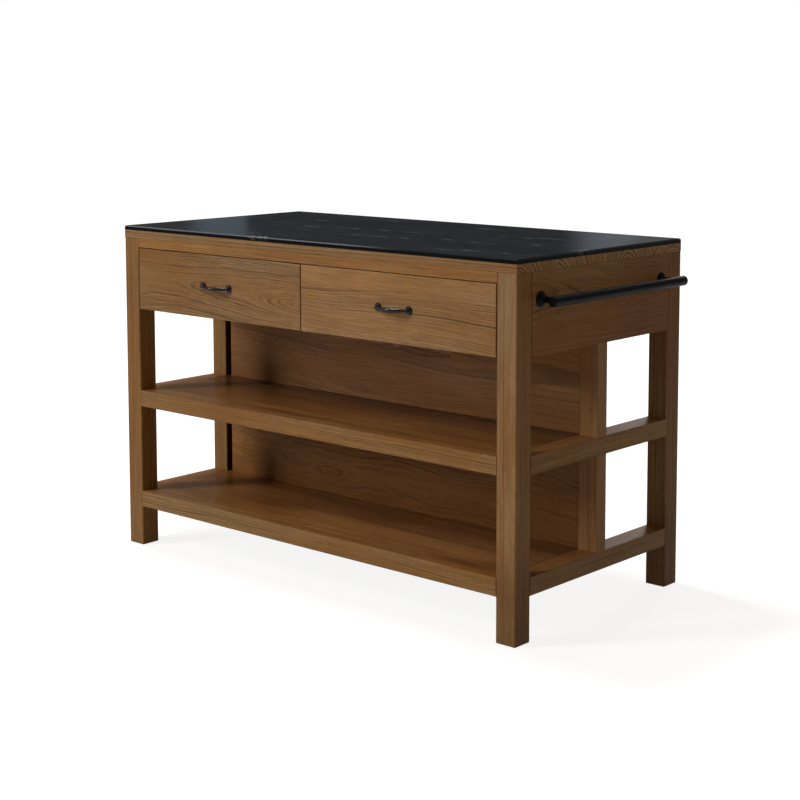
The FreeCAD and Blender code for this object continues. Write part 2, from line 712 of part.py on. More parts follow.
def make_pull(word):
    centre = (f"{front_low(word)} + {FRONT_WIDTH} / 2", FRONT,
              f"{APRON_BOTTOM} + {FRONT_HEIGHT} / 2")
    pull = new_body(f"{word}_drawer_pull", centre)
    outwards = FreeCAD.Rotation(FreeCAD.Vector(1, 0, 0), 180)
    foot_outline = [
        ("0", "0"),
        ("foot_diameter / 2", "0"),
        ("foot_diameter / 2", "foot_rim / 2"),
        ("foot_diameter / 2 - foot_rim / 2", "foot_rim"),
        ("(foot_diameter + foot_neck_diameter) / 4", "foot_rim * 1.6"),
        ("foot_neck_diameter / 2", "foot_height * 0.5"),
        ("foot_neck_diameter / 2 * 0.9", "foot_height * 0.8"),
        ("foot_neck_diameter / 2 * 0.6", "foot_height"),
        ("0", "foot_height"),
    ]
    for hand, way in (("left", "0 - "), ("right", "")):
        sketch = new_sketch(pull, "XY_Plane", f"{hand}_foot", (f"{way}pull_span / 2", "0", "0"),
                            outwards)
        draw_outline(sketch, foot_outline)
        foot = pull.newObject("PartDesign::Revolution", f"{pull.Name}_{hand}_foot_turned")
        foot.Profile = sketch
        foot.ReferenceAxis = (sketch, ["V_Axis"])
        foot.Angle = 360
    # The grip's centre line is a parabola from neck to neck
    base = "foot_height * 0.7"
    bow = f"(pull_rise - {base})"
    rings = []
    for number, share in enumerate(GRIP_SHARES):
        fullness = 1 - share * share
        offset = (f"0 - {base} - {bow} * {fullness}", "0", f"pull_span / 2 * {share}")
        turn = FreeCAD.Rotation(FreeCAD.Vector(0, 1, 0), share)
        ring = new_sketch(pull, "YZ_Plane", f"grip_{number}", offset, turn if share else None)
        if share:
            bind(ring, "AttachmentOffset.Rotation.Angle",
                 f"atan(4 * {bow} * {abs(share)} / pull_span)")
            ring.AttachmentOffset = FreeCAD.Placement(
                FreeCAD.Vector(0, 0, 0), FreeCAD.Rotation(FreeCAD.Vector(0, share, 0), 1))
        draw_circle(ring, "grip_end_diameter + (grip_middle_diameter - grip_end_diameter)"
                          f" * {fullness}")
        rings.append(ring)
    grip = pull.newObject("PartDesign::AdditiveLoft", f"{pull.Name}_grip")
    grip.Profile = rings[0]
    grip.Sections = rings[1:]
    for hand, way in (("left", "0 - "), ("right", "")):
        round_hole(pull, f"{hand}_thread", "XZ_Plane",
                   (f"{way}pull_span / 2", "0", "0 - cut_overrun"),
                   "pull_screw_diameter + 2 * screw_fit",
                   "pull_screw_depth + joint_end_gap + cut_overrun")


def make_pull_screws(word):
    screws = []
    for hand, way in (("left", "-"), ("right", "+")):
        name = f"{word}_pull_screw_{hand}"
        x_place = f"{front_low(word)} + {FRONT_WIDTH} / 2 {way} pull_span / 2"
        z_place = f"{APRON_BOTTOM} + {FRONT_HEIGHT} / 2"
        shank = rod(f"{name}_shank", (x_place, f"{FRONT} + front_thickness + pull_head_height", z_place),
                    AGAINST_Y, "pull_screw_diameter",
                    "pull_head_height + front_thickness + pull_screw_depth")
        head = rod(f"{name}_head", (x_place, f"{FRONT} + front_thickness + pull_head_height", z_place),
                   AGAINST_Y, "pull_head_diameter", "pull_head_height")
        screws.append(joined(name, [shank, head]))
    group(f"{word}_drawer_pull_screws", screws)


def make_drawers():
    for word in ("left", "right"):
        make_drawer_front(word)
        make_drawer_box(word)
        make_pull(word)
        make_pull_screws(word)
        for hand in ("left", "right"):
            make_slide(word, hand)


# Towel rail: a round bar on two posts with round wall plates

def make_rail_post(word, way):
    place = (RIGHT, f"{MIDDLE} {way} {RAIL_SPACING} / 2", RAIL_AXIS)
    post = new_body(f"towel_rail_post_{word}", place)
    sketch = new_sketch(post, "XY_Plane", "profile")
    draw_outline(sketch, [
        ("0", "0"),
        ("rail_standoff", "0"),
        ("rail_standoff", "post_neck_diameter / 2"),
        ("plate_rise * 2", "post_neck_diameter / 2"),
        ("plate_rise", "post_neck_diameter / 2 + plate_rim"),
        ("plate_rim * 1.3", "plate_diameter / 2 - plate_rim"),
        ("plate_rim / 2", "plate_diameter / 2"),
        ("0", "plate_diameter / 2"),
    ])
    turned = post.newObject("PartDesign::Revolution", f"{post.Name}_turned")
    turned.Profile = sketch
    turned.ReferenceAxis = (sketch, ["H_Axis"])
    turned.Angle = 360
    # The post ends in a saddle that takes the bar
    round_hole(post, "saddle", "XZ_Plane", ("rail_standoff", "0", "0 - rail_diameter"),
               "rail_diameter + 2 * rail_fit", "2 * rail_diameter")
    round_hole(post, "thread", "YZ_Plane", ("0", "0", "0 - cut_overrun"),
               "rail_screw_diameter + 2 * screw_fit",
               "rail_screw_depth + joint_end_gap + cut_overrun")


def make_towel_rail():
    length = f"({RAIL_SPACING} + 2 * rail_overhang)"
    bar = new_body("towel_rail_bar",
                   (f"{RIGHT} + rail_standoff", f"{MIDDLE} - {length} / 2", RAIL_AXIS))
    sketch = new_sketch(bar, "XZ_Plane", "round")
    draw_circle(sketch, "rail_diameter")
    pad = bar.newObject("PartDesign::Pad", "towel_rail_bar_pad")
    pad.Profile = sketch
    pad.Reversed = True
    bind(pad, "Length", length)
    ease_face(bar, 1, False, "rail_ease")
    ease_face(bar, 1, True, "rail_ease")
    screws = []
    for word, way in (("front", "-"), ("back", "+")):
        make_rail_post(word, way)
        start = (f"{RIGHT} - apron_thickness - rail_head_height",
                 f"{MIDDLE} {way} {RAIL_SPACING} / 2", RAIL_AXIS)
        name = f"towel_rail_screw_{word}"
        shank = rod(f"{name}_shank", start, ALONG_X, "rail_screw_diameter",
                    "rail_head_height + apron_thickness + rail_screw_depth")
        head = rod(f"{name}_head", start, ALONG_X, "rail_head_diameter", "rail_head_height")
        screws.append(joined(name, [shank, head]))
    group("towel_rail_screws", screws)


# Steel angles under the top board, on the inner faces of the frame

END_ANGLE_SHARES = (0.25, 0.75)
LONG_ANGLE_SHARES = (0.1, 0.35, 0.65, 0.9)


def make_angle(name, wall_low, wall_size, ledge_low, ledge_size):
    wall = plate(f"{name}_wall", wall_low, wall_size)
    ledge = plate(f"{name}_ledge", ledge_low, ledge_size)
    return joined(name, [wall, ledge])


def make_top_angles():
    wall_z = f"{BOARD_BOTTOM} - angle_leg"
    ledge_z = f"{BOARD_BOTTOM} - angle_sheet"
    angles = []
    for word, face, way in (("left", f"{LEFT} + apron_thickness", 1),
                            ("right", f"{RIGHT} - apron_thickness", -1)):
        for number, share in enumerate(END_ANGLE_SHARES):
            low_y = f"{FRONT} + leg_depth + {SPAN_Y} * {share} - angle_length / 2"
            wall_x = face if way == 1 else f"{face} - angle_sheet"
            ledge_x = face if way == 1 else f"{face} - angle_leg"
            angles.append(make_angle(
                f"angle_{word}_{number}", (wall_x, low_y, wall_z),
                ("angle_sheet", "angle_length", "angle_leg"), (ledge_x, low_y, ledge_z),
                ("angle_leg", "angle_length", "angle_sheet")))
    for word, face, way in (("front", f"{FRONT} + top_rail_depth", 1),
                            ("back", f"{BACK} - apron_thickness", -1)):
        for number, share in enumerate(LONG_ANGLE_SHARES):
            low_x = f"{LEFT} + leg_width + {SPAN_X} * {share} - angle_length / 2"
            wall_y = face if way == 1 else f"{face} - angle_sheet"
            ledge_y = face if way == 1 else f"{face} - angle_leg"
            angles.append(make_angle(
                f"angle_{word}_{number}", (low_x, wall_y, wall_z),
                ("angle_length", "angle_sheet", "angle_leg"), (low_x, ledge_y, ledge_z),
                ("angle_length", "angle_leg", "angle_sheet")))
    group("top_fixing_angles", angles)


def make_table():
    make_top()
    make_legs()
    make_upper_frame()
    make_drawer_supports()
    for level, top in SHELVES.items():
        make_shelf(level, top)
    make_divider()
    make_drawers()
    make_towel_rail()
    make_top_angles()


def check_and_write():
    doc.recompute()
    for item in doc.Objects:
        if "Invalid" in item.State or "Error" in item.State:
            raise RuntimeError(f"{item.Name} failed: {item.State}")
    for piece in pieces:
        shape = piece.Shape
        if shape.isNull() or not shape.isValid() or not shape.Solids:
            raise RuntimeError(f"{piece.Label} has no sound shape")
    for piece in pieces:
        piece.Shape.exportStep(f"parts/{piece.Label}.step")
        print(piece.Label, len(piece.Shape.Solids), round(piece.Shape.Volume))


make_table()
check_and_write()
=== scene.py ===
import math

import bpy
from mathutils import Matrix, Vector


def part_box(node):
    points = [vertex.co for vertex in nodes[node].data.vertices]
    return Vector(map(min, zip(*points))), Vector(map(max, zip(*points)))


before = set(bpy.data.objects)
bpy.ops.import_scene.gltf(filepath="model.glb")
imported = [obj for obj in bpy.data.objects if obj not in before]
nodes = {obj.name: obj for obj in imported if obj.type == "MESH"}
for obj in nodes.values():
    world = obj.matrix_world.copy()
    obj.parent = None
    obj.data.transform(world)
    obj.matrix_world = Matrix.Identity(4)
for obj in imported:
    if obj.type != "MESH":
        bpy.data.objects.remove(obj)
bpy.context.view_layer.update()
X, Y, Z = 0, 1, 2
WHITE = (1.0, 1.0, 1.0, 1.0)
BLACK = (0.0, 0.0, 0.0, 1.0)


# Colours

def colour(r, g, b):
    """Makes a screen's 0 to 255 linear. The tints, the floor and the studio are given as linear."""
    def linear(v):
        v = v / 255
        return v / 12.92 if v <= 0.04045 else ((v + 0.055) / 1.055) ** 2.4
    return (linear(r), linear(g), linear(b), 1.0)


def shade(rgb, amount):
    return tuple(min(255.0, v * amount) for v in rgb)


class Graph:
    """Adds nodes to a node tree. Values may be numbers, colours or other nodes' outputs."""

    def __init__(self, tree):
        self.tree = tree

    def add(self, kind, **settings):
        node = self.tree.nodes.new(kind)
        for name, value in settings.items():
            setattr(node, name, value)
        return node

    def put(self, socket, value):
        if isinstance(value, bpy.types.NodeSocket):
            self.tree.links.new(value, socket)
        else:
            socket.default_value = value

    def maths(self, operation, a, b=None, c=None, clamp=False):
        node = self.add("ShaderNodeMath", operation=operation, use_clamp=clamp)
        for socket, value in zip(node.inputs, (a, b, c)):
            if value is not None:
                self.put(socket, value)
        return node.outputs[0]

    def product(self, first, *others):
        for other in others:
            first = self.maths("MULTIPLY", first, other)
        return first

    def highest(self, first, *others):
        for other in others:
            first = self.maths("MAXIMUM", first, other)
        return first

    def one_plus(self, value, amount):
        """1 where the value is 0, and 1 + amount where it is 1."""
        return self.maths("MULTIPLY_ADD", value, amount, 1.0)

    def swing(self, noise, amount):
        """A factor around 1 that follows a noise around 0.5."""
        return self.one_plus(self.maths("SUBTRACT", noise, 0.5), amount)

    def from_half(self, value):
        """How far a value lies from 0.5."""
        return self.maths("ABSOLUTE", self.maths("SUBTRACT", value, 0.5))

    def vector(self, operation, a, b=None, scale=None):
        node = self.add("ShaderNodeVectorMath", operation=operation)
        self.put(node.inputs[0], a)
        if b is not None:
            self.put(node.inputs[1], b)
        if scale is not None:
            self.put(node.inputs["Scale"], scale)
        return node.outputs["Value" if operation == "LENGTH" else "Vector"]

    def away(self, place, centre, half_axes):
        """How far a place lies from a centre: 1 on the ellipsoid with these half axes."""
        offset = self.vector("SUBTRACT", place, centre)
        return self.vector("LENGTH", self.vector("DIVIDE", offset, half_axes))

    def split(self, vector):
        node = self.add("ShaderNodeSeparateXYZ")
        self.put(node.inputs[0], vector)
        return node.outputs[0], node.outputs[1], node.outputs[2]

    def join(self, x, y, z):
        node = self.add("ShaderNodeCombineXYZ")
        for socket, value in zip(node.inputs, (x, y, z)):
            self.put(socket, value)
        return node.outputs[0]

    def place(self):
        """The shaded point, measured as the CAD's boxes are."""
        return self.add("ShaderNodeTexCoord").outputs["Object"]

    def facing(self):
        """The three parts of the direction that the face looks in."""
        return self.split(self.add("ShaderNodeNewGeometry").outputs["True Normal"])

    def noise(self, vector, pace=None, scale=1.0, detail=2.0, roughness=0.5, coloured=False):
        """Smooth noise. pace is how fast it changes along each axis, scale is for all of them."""
        node = self.add("ShaderNodeTexNoise", noise_dimensions="3D")
        spot = self.vector("MULTIPLY", vector, pace) if pace else vector
        for name, value in (("Vector", spot), ("Scale", scale), ("Detail", detail),
                            ("Roughness", roughness)):
            self.put(node.inputs[name], value)
        return node.outputs["Color" if coloured else "Fac"]

    def noise_along(self, value, detail):
        """Smooth noise along one number."""
        node = self.add("ShaderNodeTexNoise", noise_dimensions="1D")
        for name, given in (("W", value), ("Scale", 1.0), ("Detail", detail)):
            self.put(node.inputs[name], given)
        return node.outputs["Fac"]

    def sway(self, vector, pace, detail, reach):
        """A small shift that changes from place to place."""
        noise = self.noise(vector, pace=pace, detail=detail, coloured=True)
        return self.vector("SCALE", self.vector("SUBTRACT", noise, (0.5, 0.5, 0.5)), scale=reach)

    def chance(self, number):
        """A random value and colour that belong to a number."""
        node = self.add("ShaderNodeTexWhiteNoise", noise_dimensions="1D")
        self.put(node.inputs["W"], number)
        return node.outputs

    def between(self, value, low, high, out_low=0.0, out_high=1.0):
        """Eases from out_low, where the value is low, to out_high, where it is high."""
        node = self.add("ShaderNodeMapRange", interpolation_type="SMOOTHSTEP")
        for name, given in (("Value", value), ("From Min", low), ("From Max", high),
                            ("To Min", out_low), ("To Max", out_high)):
            self.put(node.inputs[name], given)
        return node.outputs["Result"]

    def mix(self, factor, a, b, blend="MIX"):
        node = self.add("ShaderNodeMix", data_type="RGBA", blend_type=blend)
        self.put(node.inputs[0], factor)
        self.put(node.inputs[6], a)
        self.put(node.inputs[7], b)
        return node.outputs[2]

    def tinted(self, base, tint):
        return self.mix(1.0, base, (*tint, 1.0), "MULTIPLY")

    def grey(self, value):
        node = self.add("ShaderNodeCombineColor")
        for socket in node.inputs[:3]:
            self.put(socket, value)
        return node.outputs[0]

    def browned(self, value):
        """A grey whose darks lean towards brown."""
        node = self.add("ShaderNodeCombineColor")
        for socket, power in zip(node.inputs[:3], (0.86, 1.0, 1.16)):
            self.put(socket, self.maths("POWER", value, power))
        return node.outputs[0]

    def bump(self, height, strength, distance):
        node = self.add("ShaderNodeBump")
        self.put(node.inputs["Height"], height)
        self.put(node.inputs["Strength"], strength)
        self.put(node.inputs["Distance"], distance)
        return node.outputs["Normal"]


def empty_material(name):
    material = bpy.data.materials.new(name)
    material.use_nodes = True
    material.node_tree.nodes.clear()
    return material, Graph(material.node_tree)


def new_material(name, **settings):
    """A material with one shader, whose fixed settings stand on the shader's own sockets."""
    material, graph = empty_material(name)
    shader = graph.add("ShaderNodeBsdfPrincipled")
    output = graph.add("ShaderNodeOutputMaterial")
    graph.put(output.inputs["Surface"], shader.outputs[0])
    for words, value in settings.items():
        shader.inputs[words.replace("_", " ")].default_value = value
    return material, graph, shader


def dress(node, material):
    """Gives a CAD node's object the material in each of its slots."""
    thing = nodes[node]
    for slot in thing.material_slots:
        slot.link = "OBJECT"
        slot.material = material
    if not thing.material_slots:
        thing.data.materials.append(material)


# The tree: one node group, and each wooden piece is a cut through it

FIELDS = ("Line", "Ring", "Broad", "Streak", "Fine", "Pore", "Patch", "Figure")
SEED_STEPS = (3.17, 7.31, 1.73)
# A pace is how fast a pattern changes per metre, along the trunk and both ways across it
# The trunk isn't straight: slow and quicker wandering of the rings, as pace, detail and reach
TRUNK_SWAYS = (((1.3, 5.0, 5.0), 1.0, 0.075), ((11.0, 34.0, 34.0), 3.0, 0.010))
# Patterns that follow the fibres, as pace, detail and roughness
FIBRES = {"Broad": ((3.5, 75.0, 75.0), 2.0, 0.60), "Streak": ((7.0, 210.0, 210.0), 3.0, 0.60),
          "Fine": ((16.0, 520.0, 520.0), 2.0, 0.65)}
# Changes of tone that don't, as pace and detail
CLOUDS = {"Patch": ((1.7, 8.0, 8.0), 2.0), "Figure": ((26.0, 9.0, 9.0), 1.0)}
PORE_PACE, PORE_EDGE = (42.0, 1050.0, 1050.0), (0.60, 0.70)
# A year's line fades in some stretches, down to the third of these values
FADING_PACE, FADING = (3.0, 16.0, 16.0), (0.30, 0.62, 0.35, 1.0)
# Years differ in width and in strength. Their late wood darkens until the end of the year
YEAR_PACE, YEAR_SPREAD, FAINTEST_YEAR = 0.37, 2.4, 0.35
LATE_WOOD_RISE, YEAR_END = (0.30, 0.86), (1.0, 0.88)


def year_rings(g, bent, seed, rings):
    """The late wood of each year, 0 to 1, and how strongly that year is marked."""
    _, across, deep = g.split(bent)
    radius = g.maths("SQRT", g.maths("ADD", g.product(across, across), g.product(deep, deep)))
    count = g.product(radius, rings)
    uneven = g.noise_along(g.maths("ADD", g.product(count, YEAR_PACE), seed), detail=1.0)
    count = g.maths("ADD", count, g.product(uneven, YEAR_SPREAD))
    part = g.maths("FRACT", count)
    ring = g.product(g.between(part, *LATE_WOOD_RISE), g.between(part, *YEAR_END))
    year = g.chance(g.maths("ADD", g.maths("FLOOR", count), seed))["Value"]
    return ring, g.maths("MULTIPLY_ADD", year, 1.0 - FAINTEST_YEAR, FAINTEST_YEAR)


def wood_structure():
    """Growth rings around a pith, wandering along the trunk, with fibres, pores and tone."""
    tree = bpy.data.node_groups.new("wood_structure", "ShaderNodeTree")
    for name, kind in (("Place", "NodeSocketVector"), ("Seed", "NodeSocketFloat"),
                       ("Rings", "NodeSocketFloat"), ("Warp", "NodeSocketFloat")):
        tree.interface.new_socket(name, in_out="INPUT", socket_type=kind)
    for name in FIELDS:
        tree.interface.new_socket(name, in_out="OUTPUT", socket_type="NodeSocketFloat")
    g = Graph(tree)
    source = g.add("NodeGroupInput").outputs
    target = g.add("NodeGroupOutput").inputs
    place, seed, rings, warp = source[0], source[1], source[2], source[3]
    shift = g.join(*(g.product(seed, step) for step in SEED_STEPS))
    spot = g.vector("ADD", place, shift)
    bent = place
    for pace, detail, reach in TRUNK_SWAYS:
        bent = g.vector("ADD", bent, g.sway(spot, pace, detail, g.product(warp, reach)))
    ring, strength = year_rings(g, bent, seed, rings)
    fading = g.between(g.noise(spot, pace=FADING_PACE), *FADING)
    g.put(target["Ring"], ring)
    g.put(target["Line"], g.product(ring, strength, fading))
    fibres = g.vector("ADD", bent, shift)
    for name, (pace, detail, roughness) in FIBRES.items():
        g.put(target[name], g.noise(fibres, pace=pace, detail=detail, roughness=roughness))
    for name, (pace, detail) in CLOUDS.items():
        g.put(target[name], g.noise(spot, pace=pace, detail=detail))
    g.put(target["Pore"], g.between(g.noise(spot, pace=PORE_PACE, detail=1.0), *PORE_EDGE))
    return tree


# Wooden pieces

TREE = wood_structure()
LIGHT = (158, 121, 76)
WARM = (154, 107, 57)
DARK = (82, 54, 30)
WARM_PATCHES = (0.34, 0.68)
# How much each pattern shows in the wood's brightness, in its roughness and in its relief
BROAD_SHOWS, STREAK_SHOWS, FINE_SHOWS, FIGURE_SHOWS, PORE_SHOWS = 0.48, 0.80, 0.50, 0.14, -0.30
ROUGHNESS, FINE_ROUGHENS, PORE_ROUGHENS = 0.40, 0.16, 0.18
FINE_RISES, PORE_RISES, LINE_RISES = 0.5, -0.7, -0.25
RELIEF, RELIEF_DEPTH = 0.35, 0.0004
SHINE, TOP_SHINE, TOP_GLOSS = 0.12, 0.36, 0.16
# Shares of an axis in the direction of a face that make it end grain, an eased edge, or turned
END_GRAIN, EASED_EDGE, TURNED = (0.80, 0.95), (0.97, 0.80), (0.5, 0.9)
END_RINGS, PLAIN_LINES = 0.85, 0.15
ALONG, ACROSS = 0, 1


def read_tree(g, place, seed, rings, warp):
    group = g.add("ShaderNodeGroup", node_tree=TREE)
    for name, value in (("Place", place), ("Seed", seed), ("Rings", rings), ("Warp", warp)):
        g.put(group.inputs[name], value)
    return group.outputs


def glue_staves(g, across, width, seed, pith):
    """Boards glued edge to edge, each from another part of the tree.

    Gives the place across within its stave, the stave's offsets from the pith, its own seed, and
    two factors of its brightness: its tone and the dark seam.
    """
    first_stave, first_step, seed_step = 20.37, 0.11, 0.731
    wander, depth = width * 0.9, 0.03
    darkest, tone_range = 0.92, 0.16
    seam_starts, seam_full, seam_shows = 0.497, 0.4995, -0.35
    share = g.maths("ADD", g.maths("DIVIDE", across, width), first_stave + first_step * seed)
    index = g.maths("FLOOR", share)
    part = g.maths("FRACT", share)
    first, second, third = g.split(g.chance(g.maths("ADD", index, float(seed)))["Color"])
    within = g.product(g.maths("SUBTRACT", part, 0.5), width)
    offsets = (g.maths("MULTIPLY_ADD", first, wander, -wander / 2 - pith[0]),
               g.maths("MULTIPLY_ADD", second, depth, -pith[1] - depth / 2))
    own_seed = g.maths("MULTIPLY_ADD", index, seed_step, float(seed))
    tone = g.maths("MULTIPLY_ADD", third, tone_range, darkest)
    seam = g.between(g.from_half(part), seam_starts, seam_full)
    return within, offsets, own_seed, (tone, g.one_plus(seam, seam_shows))


def wood(node, axes, seed, pith=(0.02, -0.075), lean=(0.0, 0.0), rings=150.0, warp=1.0, light=LIGHT,
         warm=WARM, dark=DARK, lines=0.72, staves=None, end_shade=0.62, swells=(), top=None, tints=(),
         fades=(), plain=None, worn_and_highlight=0.22):
    """Dresses one board. axes names the piece's axes along the grain, across and through it.

    pith is where the tree's middle lies, across and through the board, and lean how much the grain
    drifts from it both ways. rings is how many years there are in a metre, warp how much they
    wander, and lines how dark they are. staves is the width of each board of a glued one. A swell
    is a bulge of the rings under the face: its place along and across the board, how far it reaches
    both ways, and its height. It shows as nested ovals. top is what the faces that look up are
    coloured by, as painted light and shade. tints does the same for other faces, as painted light
    and shade: axis, side of it, colour. fades are slow changes of colour: ALONG or ACROSS the board,
    from where, to where, colour there. plain is where across the board the ring lines fade out.
    end_shade is the brightness of the end grain, and worn how much paler an eased edge is, as wear
    and painted highlight, or darker where it is negative.
    """
    material, g, shader = new_material(f"{node}_wood", Specular_IOR_Level=SHINE)
    low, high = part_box(node)
    parts = g.split(g.vector("SUBTRACT", g.place(), tuple((low + high) / 2)))
    along, across, deep = (parts[axis] for axis in axes)
    runs = (along, across)
    offsets, own_seed, stave_marks = (-pith[0], -pith[1]), float(seed), ()
    if staves:
        across, offsets, own_seed, stave_marks = glue_staves(g, across, staves, seed, pith)
    spot = g.join(along, across, 0.0)
    across = g.maths("ADD", g.maths("MULTIPLY_ADD", along, lean[0], across), offsets[0])
    deep = g.maths("ADD", g.maths("MULTIPLY_ADD", along, lean[1], deep), offsets[1])
    for place_along, place_across, reach_along, reach_across, rise in swells:
        away = g.away(spot, (place_along, place_across, 0.0), (reach_along, reach_across, 1.0))
        deep = g.maths("ADD", deep, g.between(away, 1.0, 0.0, 0.0, rise))
    field = read_tree(g, g.join(along, across, deep), own_seed, rings, warp)
    line, ring, broad, streak, fine, pore, patch, figure = (field[name] for name in FIELDS)
    facing = g.facing()
    sides = [g.maths("ABSOLUTE", part) for part in facing]
    end = g.between(sides[axes[0]], *END_GRAIN)
    eased = g.between(g.highest(*sides), *EASED_EDGE)
    base = g.mix(g.between(patch, *WARM_PATCHES), colour(*light), colour(*warm))
    for run, start, stop, tint in fades:
        base = g.mix(g.between(runs[run], start, stop), base, g.tinted(base, tint))
    if plain:
        line = g.product(line, g.between(runs[ACROSS], *plain, 1.0, PLAIN_LINES))
    amount = g.maths("MULTIPLY", line, lines, clamp=True)
    amount = g.highest(amount, g.product(ring, end, END_RINGS))
    base = g.mix(amount, base, colour(*dark))
    # worn makes an eased edge paler, as wear and painted highlight
    level = g.product(g.swing(broad, BROAD_SHOWS), g.swing(streak, STREAK_SHOWS),
                      g.swing(fine, FINE_SHOWS), g.swing(figure, FIGURE_SHOWS),
                      g.one_plus(pore, PORE_SHOWS), g.one_plus(end, end_shade - 1.0),
                      g.one_plus(eased, worn_and_highlight), *stave_marks)
    rough = g.maths("ADD", g.maths("MULTIPLY_ADD", fine, FINE_ROUGHENS, ROUGHNESS),
                    g.product(pore, PORE_ROUGHENS))
    # Faces that look up take top's colour, which is painted light and shade, and more shine
    if top:
        upward = g.between(facing[Z], *TURNED)
        base = g.mix(upward, base, g.tinted(base, top))
        g.put(shader.inputs["Specular IOR Level"], g.between(upward, 0.0, 1.0, SHINE, TOP_SHINE))
        rough = g.maths("ADD", rough, g.product(upward, -TOP_GLOSS))
    # Faces that look one way take their tint, which is painted light and shade
    for axis, side, tint in tints:
        here = g.between(g.product(facing[axis], float(side)), *TURNED)
        base = g.mix(here, base, g.tinted(base, tint))
    g.put(shader.inputs["Base Color"], g.mix(1.0, base, g.browned(level), "MULTIPLY"))
    g.put(shader.inputs["Roughness"], rough)
    hollows = g.maths("ADD", g.product(pore, PORE_RISES), g.product(line, LINE_RISES))
    height = g.maths("ADD", g.product(fine, FINE_RISES), hollows)
    g.put(shader.inputs["Normal"], g.bump(height, RELIEF, RELIEF_DEPTH))
    dress(node, material)


# Legs: straight upright grain
LEG = dict(pith=(0.055, -0.060), rings=215.0, warp=0.55, lines=0.55)
# The tints and fades on the legs are painted light and shade: lit or shaded faces, darker towards the
# floor
wood("leg_front_left", (Z, X, Y), 3, tints=((X, 1, (1.10, 1.08, 1.0)),),
     fades=((ALONG, -0.05, -0.25, (0.95, 0.88, 0.82)),), **LEG)
wood("leg_front_right", (Z, X, Y), 11, tints=((Y, -1, (1.05, 1.12, 1.36)),),
     fades=((ALONG, -0.17, -0.32, (0.72, 0.64, 0.54)),), **LEG)
wood("leg_back_left", (Z, Y, X), 19, **LEG)
wood("leg_back_right", (Z, Y, X), 27, tints=((X, 1, (0.77, 0.63, 0.37)), (Y, -1, (1.11, 1.33, 1.75))),
     fades=((ALONG, -0.15, -0.32, (0.68, 0.60, 0.54)),), **LEG)

# Top: staves glued side by side, and the rail under its front edge
wood("top_board", (X, Y, Z), 5, pith=(-0.060, -0.045), rings=105.0, warp=0.35, light=(162, 126, 84),
     warm=(158, 113, 66), dark=(74, 48, 26), staves=0.205, end_shade=1.42)
wood("front_top_rail", (X, Z, Y), 8, pith=(0.10, -0.04), rings=130.0, warp=0.5, light=(170, 124, 74),
     warm=(166, 114, 60), fades=((ALONG, 0.0, -0.5, (1.15, 1.12, 0.97)),))

# End and back boards of the frame
APRON = dict(rings=175.0, warp=1.15, lean=(0.02, 0.05), lines=0.85, end_shade=0.7,
             light=(160, 114, 65), warm=(154, 101, 49), dark=(78, 48, 24))
# Painted light makes its top strip lighter and bluer, and painted shade darkens it towards the back
wood("end_apron_right", (Y, Z, X), 31, pith=(0.02, -0.055),
     fades=((ACROSS, 0.0, 0.07, (1.16, 1.32, 1.66)), (ALONG, 0.0, 0.25, (0.80, 0.71, 0.58))), **APRON)
wood("end_apron_left", (Y, Z, X), 37, pith=(-0.03, 0.060), **APRON)
wood("back_apron", (X, Z, Y), 41, pith=(0.03, -0.080), **APRON)
wood("centre_partition", (Y, Z, X), 43, **APRON)
wood("slide_batten_left", (Y, Z, X), 44)
wood("slide_batten_right", (Y, Z, X), 45)

# Drawer fronts: a flame of grain on the left one, long lines on the right one
wood("left_drawer_front", (X, Z, Y), 52, pith=(-0.022, -0.055), lean=(0.03, -0.02), rings=185.0,
     warp=0.8, light=(162, 128, 90), warm=(159, 117, 72), dark=(84, 57, 35), lines=0.95,
     swells=((0.34, -0.016, 0.25, 0.048, -0.032), (-0.33, -0.024, 0.07, 0.030, -0.016)),
     fades=((ALONG, 0.10, -0.20, (0.91, 0.80, 0.62)),))
wood("right_drawer_front", (X, Z, Y), 58, pith=(0.085, -0.110), lean=(0.055, 0.02), rings=250.0,
     warp=0.45, light=(180, 140, 98), warm=(175, 128, 78), dark=(84, 54, 30), lines=1.0,
     plain=(0.020, 0.050), fades=((ALONG, -0.15, 0.15, (0.90, 0.89, 0.88)),))

# Shelves: their boards are painted lighter in front and darker at the panel, and lighter or darker
# along them, all as painted light and shade
SHELF_EDGE = dict(pith=(0.09, -0.05), rings=150.0, warp=0.6, worn_and_highlight=-0.35)
# Painted shade on the tops of the cross and side rails, darkest on the left side rails
PAINTED_SHADE_RAIL_TOP, LEFT_PAINTED_SHADE_RAIL_TOP = (0.97, 0.86, 0.74), (0.50, 0.43, 0.40)


